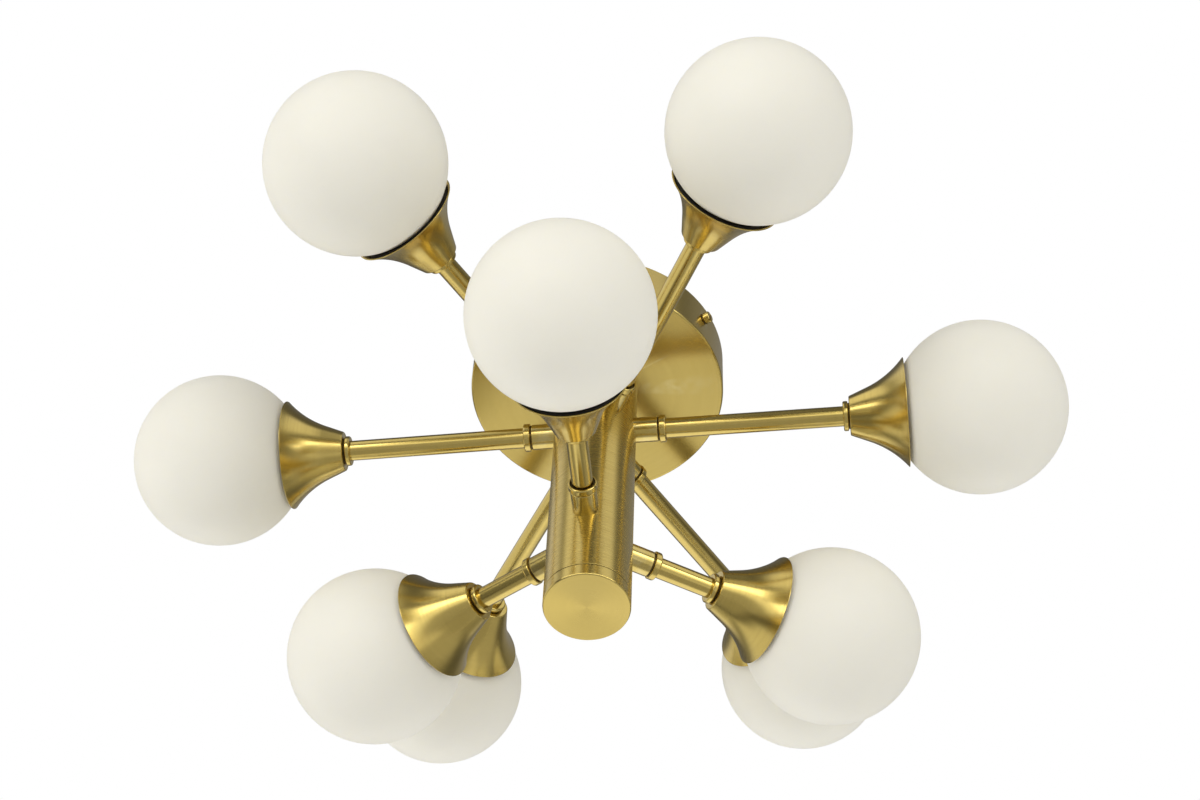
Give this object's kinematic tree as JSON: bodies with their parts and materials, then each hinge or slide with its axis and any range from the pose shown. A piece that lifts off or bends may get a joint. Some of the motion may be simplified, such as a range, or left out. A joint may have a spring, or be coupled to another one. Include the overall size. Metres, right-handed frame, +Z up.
{
  "type": "multi arm chandelier",
  "caption": "Semi-flush brass ceiling light: a round canopy and hanging column carry two tiers of straight arms ending in bell cups that hold screw-in opal glass globes.",
  "frame": {"origin": "centre of the ceiling face, midway between the two ceiling screw holes in the bracket's top face", "axes": "+Z up into the ceiling, so the light hangs towards -Z; the first lower arm points along -Y and the second upper arm along +X"},
  "size_m": [0.652, 0.5842, 0.2674],
  "materials": {
    "brushed_brass": "satin",
    "opal_glass": "matte",
    "black_rubber": "matte",
    "plated_steel": "satin",
    "glazed_porcelain": "gloss",
    "lamp_glass": "satin",
    "lead_sleeve": "matte",
    "block_plastic": "matte"
  },
  "bodies": {
    "root": {"ceiling_bracket": "plated_steel", "terminal_block": "block_plastic", "canopy": "brushed_brass", "inside_screws": "plated_steel", "column_tube": "brushed_brass", "column_head": "plated_steel", "end_cap": "brushed_brass", "lamp_leads": "lead_sleeve", "arm_bosses": "brushed_brass", "collar_nuts": "brushed_brass", "cup_rings": "brushed_brass", "hollow_nipples": "plated_steel", "lampholders": "glazed_porcelain", "arm_tube_upper_1": "brushed_brass", "arm_tube_upper_2": "brushed_brass", "arm_tube_upper_3": "brushed_brass", "arm_tube_upper_4": "brushed_brass", "arm_tube_upper_5": "brushed_brass", "arm_tube_upper_6": "brushed_brass", "arm_tube_lower_1": "brushed_brass", "arm_tube_lower_2": "brushed_brass", "arm_tube_lower_3": "brushed_brass", "bell_cup_upper_1": "brushed_brass", "bell_cup_upper_2": "brushed_brass", "bell_cup_upper_3": "brushed_brass", "bell_cup_upper_4": "brushed_brass", "bell_cup_upper_5": "brushed_brass", "bell_cup_upper_6": "brushed_brass", "bell_cup_lower_1": "brushed_brass", "bell_cup_lower_2": "brushed_brass", "bell_cup_lower_3": "brushed_brass"},
    "canopy_screw_right": {"canopy_screw_right": "brushed_brass"},
    "canopy_screw_left": {"canopy_screw_left": "brushed_brass"},
    "seal_ring_upper_1": {"seal_ring_upper_1": "black_rubber"},
    "globe_upper_1": {"globe_upper_1": "opal_glass"},
    "lamp_upper_1": {"lamp_upper_1": "lamp_glass"},
    "seal_ring_upper_2": {"seal_ring_upper_2": "black_rubber"},
    "globe_upper_2": {"globe_upper_2": "opal_glass"},
    "lamp_upper_2": {"lamp_upper_2": "lamp_glass"},
    "seal_ring_upper_3": {"seal_ring_upper_3": "black_rubber"},
    "globe_upper_3": {"globe_upper_3": "opal_glass"},
    "lamp_upper_3": {"lamp_upper_3": "lamp_glass"},
    "seal_ring_upper_4": {"seal_ring_upper_4": "black_rubber"},
    "globe_upper_4": {"globe_upper_4": "opal_glass"},
    "lamp_upper_4": {"lamp_upper_4": "lamp_glass"},
    "seal_ring_upper_5": {"seal_ring_upper_5": "black_rubber"},
    "globe_upper_5": {"globe_upper_5": "opal_glass"},
    "lamp_upper_5": {"lamp_upper_5": "lamp_glass"},
    "seal_ring_upper_6": {"seal_ring_upper_6": "black_rubber"},
    "globe_upper_6": {"globe_upper_6": "opal_glass"},
    "lamp_upper_6": {"lamp_upper_6": "lamp_glass"},
    "seal_ring_lower_1": {"seal_ring_lower_1": "black_rubber"},
    "globe_lower_1": {"globe_lower_1": "opal_glass"},
    "lamp_lower_1": {"lamp_lower_1": "lamp_glass"},
    "seal_ring_lower_2": {"seal_ring_lower_2": "black_rubber"},
    "globe_lower_2": {"globe_lower_2": "opal_glass"},
    "lamp_lower_2": {"lamp_lower_2": "lamp_glass"},
    "seal_ring_lower_3": {"seal_ring_lower_3": "black_rubber"},
    "globe_lower_3": {"globe_lower_3": "opal_glass"},
    "lamp_lower_3": {"lamp_lower_3": "lamp_glass"}
  },
  "joints": [
    {"name": "canopy_screw_right_out", "type": "slide", "parent": "root", "child": "canopy_screw_right", "axis": [0.891, -0.454, 0], "range_m": [0, 0.008]},
    {"name": "canopy_screw_left_out", "type": "slide", "parent": "root", "child": "canopy_screw_left", "axis": [-0.891, 0.454, 0], "range_m": [0, 0.008]},
    {"name": "globe_upper_1_out", "type": "slide", "parent": "root", "child": "seal_ring_upper_1", "axis": [0.4879, -0.8729, 0], "range_m": [0, 0.0081]},
    {"name": "globe_upper_1_unscrew", "type": "hinge", "parent": "seal_ring_upper_1", "child": "globe_upper_1", "pos_m": [0.12977, -0.2322, -0.0844], "axis": [0.4879, -0.8729, 0], "range_deg": [0, 720]},
    {"name": "lamp_upper_1_pull", "type": "slide", "parent": "root", "child": "lamp_upper_1", "axis": [0.4879, -0.8729, 0], "range_m": [0, 0.012]},
    {"name": "globe_upper_2_out", "type": "slide", "parent": "root", "child": "seal_ring_upper_2", "axis": [1, 0, 0], "range_m": [0, 0.0081]},
    {"name": "globe_upper_2_unscrew", "type": "hinge", "parent": "seal_ring_upper_2", "child": "globe_upper_2", "pos_m": [0.266, 0, -0.0844], "axis": [1, 0, 0], "range_deg": [0, 720]},
    {"name": "lamp_upper_2_pull", "type": "slide", "parent": "root", "child": "lamp_upper_2", "axis": [1, 0, 0], "range_m": [0, 0.012]},
    {"name": "globe_upper_3_out", "type": "slide", "parent": "root", "child": "seal_ring_upper_3", "axis": [0.4894, 0.8721, 0], "range_m": [0, 0.0081]},
    {"name": "globe_upper_3_unscrew", "type": "hinge", "parent": "seal_ring_upper_3", "child": "globe_upper_3", "pos_m": [0.13018, 0.23197, -0.0844], "axis": [0.4894, 0.8721, 0], "range_deg": [0, 720]},
    {"name": "lamp_upper_3_pull", "type": "slide", "parent": "root", "child": "lamp_upper_3", "axis": [0.4894, 0.8721, 0], "range_m": [0, 0.012]},
    {"name": "globe_upper_4_out", "type": "slide", "parent": "root", "child": "seal_ring_upper_4", "axis": [-0.5284, 0.849, 0], "range_m": [0, 0.0081]},
    {"name": "globe_upper_4_unscrew", "type": "hinge", "parent": "seal_ring_upper_4", "child": "globe_upper_4", "pos_m": [-0.14056, 0.22583, -0.0844], "axis": [-0.5284, 0.849, 0], "range_deg": [0, 720]},
    {"name": "lamp_upper_4_pull", "type": "slide", "parent": "root", "child": "lamp_upper_4", "axis": [-0.5284, 0.849, 0], "range_m": [0, 0.012]},
    {"name": "globe_upper_5_out", "type": "slide", "parent": "root", "child": "seal_ring_upper_5", "axis": [-1, 0.007, 0], "range_m": [0, 0.0081]},
    {"name": "globe_upper_5_unscrew", "type": "hinge", "parent": "seal_ring_upper_5", "child": "globe_upper_5", "pos_m": [-0.26599, 0.00186, -0.0844], "axis": [-1, 0.007, 0], "range_deg": [0, 720]},
    {"name": "lamp_upper_5_pull", "type": "slide", "parent": "root", "child": "lamp_upper_5", "axis": [-1, 0.007, 0], "range_m": [0, 0.012]},
    {"name": "globe_upper_6_out", "type": "slide", "parent": "root", "child": "seal_ring_upper_6", "axis": [-0.4924, -0.8704, 0], "range_m": [0, 0.0081]},
    {"name": "globe_upper_6_unscrew", "type": "hinge", "parent": "seal_ring_upper_6", "child": "globe_upper_6", "pos_m": [-0.13098, -0.23151, -0.0844], "axis": [-0.4924, -0.8704, 0], "range_deg": [0, 720]},
    {"name": "lamp_upper_6_pull", "type": "slide", "parent": "root", "child": "lamp_upper_6", "axis": [-0.4924, -0.8704, 0], "range_m": [0, 0.012]},
    {"name": "globe_lower_1_out", "type": "slide", "parent": "root", "child": "seal_ring_lower_1", "axis": [0.0087, -1, 0], "range_m": [0, 0.0081]},
    {"name": "globe_lower_1_unscrew", "type": "hinge", "parent": "seal_ring_lower_1", "child": "globe_lower_1", "pos_m": [0.00159, -0.18199, -0.201], "axis": [0.0087, -1, 0], "range_deg": [0, 720]},
    {"name": "lamp_lower_1_pull", "type": "slide", "parent": "root", "child": "lamp_lower_1", "axis": [0.0087, -1, 0], "range_m": [0, 0.012]},
    {"name": "globe_lower_2_out", "type": "slide", "parent": "root", "child": "seal_ring_lower_2", "axis": [0.8462, 0.5329, 0], "range_m": [0, 0.0081]},
    {"name": "globe_lower_2_unscrew", "type": "hinge", "parent": "seal_ring_lower_2", "child": "globe_lower_2", "pos_m": [0.15401, 0.09698, -0.201], "axis": [0.8462, 0.5329, 0], "range_deg": [0, 720]},
    {"name": "lamp_lower_2_pull", "type": "slide", "parent": "root", "child": "lamp_lower_2", "axis": [0.8462, 0.5329, 0], "range_m": [0, 0.012]},
    {"name": "globe_lower_3_out", "type": "slide", "parent": "root", "child": "seal_ring_lower_3", "axis": [-0.8686, 0.4955, 0], "range_m": [0, 0.0081]},
    {"name": "globe_lower_3_unscrew", "type": "hinge", "parent": "seal_ring_lower_3", "child": "globe_lower_3", "pos_m": [-0.15809, 0.09017, -0.201], "axis": [-0.8686, 0.4955, 0], "range_deg": [0, 720]},
    {"name": "lamp_lower_3_pull", "type": "slide", "parent": "root", "child": "lamp_lower_3", "axis": [-0.8686, 0.4955, 0], "range_m": [0, 0.012]}
  ],
  "couplings": [
    {"joint": "globe_upper_1_out", "follows": "globe_upper_1_unscrew", "m_per_rad": 0.00063662},
    {"joint": "globe_upper_2_out", "follows": "globe_upper_2_unscrew", "m_per_rad": 0.00063662},
    {"joint": "globe_upper_3_out", "follows": "globe_upper_3_unscrew", "m_per_rad": 0.00063662},
    {"joint": "globe_upper_4_out", "follows": "globe_upper_4_unscrew", "m_per_rad": 0.00063662},
    {"joint": "globe_upper_5_out", "follows": "globe_upper_5_unscrew", "m_per_rad": 0.00063662},
    {"joint": "globe_upper_6_out", "follows": "globe_upper_6_unscrew", "m_per_rad": 0.00063662},
    {"joint": "globe_lower_1_out", "follows": "globe_lower_1_unscrew", "m_per_rad": 0.00063662},
    {"joint": "globe_lower_2_out", "follows": "globe_lower_2_unscrew", "m_per_rad": 0.00063662},
    {"joint": "globe_lower_3_out", "follows": "globe_lower_3_unscrew", "m_per_rad": 0.00063662}
  ]
}
